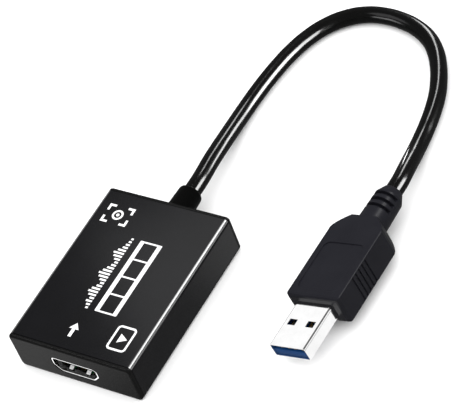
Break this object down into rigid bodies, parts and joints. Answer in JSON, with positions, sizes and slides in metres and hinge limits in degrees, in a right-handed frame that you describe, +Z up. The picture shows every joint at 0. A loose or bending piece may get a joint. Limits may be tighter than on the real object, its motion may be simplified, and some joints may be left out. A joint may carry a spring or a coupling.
{
  "type": "video capture box",
  "caption": "Flat black box with a D-shaped video socket in its front and a captive lead to a flat data plug at its back, for feeding a video signal to a computer.",
  "frame": {"origin": "on the surface that the box lies on, under the middle of its case", "axes": "+Z up; +Y along the case towards the lead, so the video socket faces -Y; +X to the side where the plug lies"},
  "size_m": [0.0844, 0.1461, 0.013],
  "materials": {
    "anodised_black": "satin anodised",
    "cap_black": "satin",
    "board_green": "semi-gloss",
    "plated_shell": "bright plated",
    "insulator_black": "matt",
    "gold_contact": "bright",
    "chip_black": "matt",
    "crystal_can": "satin",
    "ferrite_grey": "matt",
    "capacitor_tan": "matt",
    "resistor_dark": "matt",
    "gland_black": "satin",
    "jacket_black": "gloss",
    "wire_sleeve": "gloss",
    "solder": "bright",
    "plug_blue": "satin",
    "mould_natural": "matt",
    "grip_black": "satin"
  },
  "bodies": {
    "root": {"case_sleeve": "anodised_black", "front_cap": "cap_black", "rear_cap": "cap_black", "main_board": "board_green", "video_socket_shell": "plated_shell", "video_socket_insulator": "insulator_black", "video_socket_contacts": "gold_contact", "capture_chip": "chip_black", "flash_chip": "chip_black", "clock_crystal": "crystal_can", "voltage_regulators": "chip_black", "power_inductors": "ferrite_grey", "surge_arrays": "chip_black", "capacitors": "capacitor_tan", "resistors": "resistor_dark", "strain_relief": "gland_black", "cable_root": "jacket_black", "lead_wires": "wire_sleeve", "solder_beads": "solder", "cable": "jacket_black", "cable_tip": "jacket_black", "data_plug_shell": "plated_shell", "data_plug_tongue": "plug_blue", "data_plug_power_contacts": "gold_contact", "data_plug_signal_contacts": "gold_contact", "data_plug_wires": "wire_sleeve", "data_plug_inner_mould": "mould_natural", "data_plug_grip": "grip_black"}
  },
  "joints": []
}
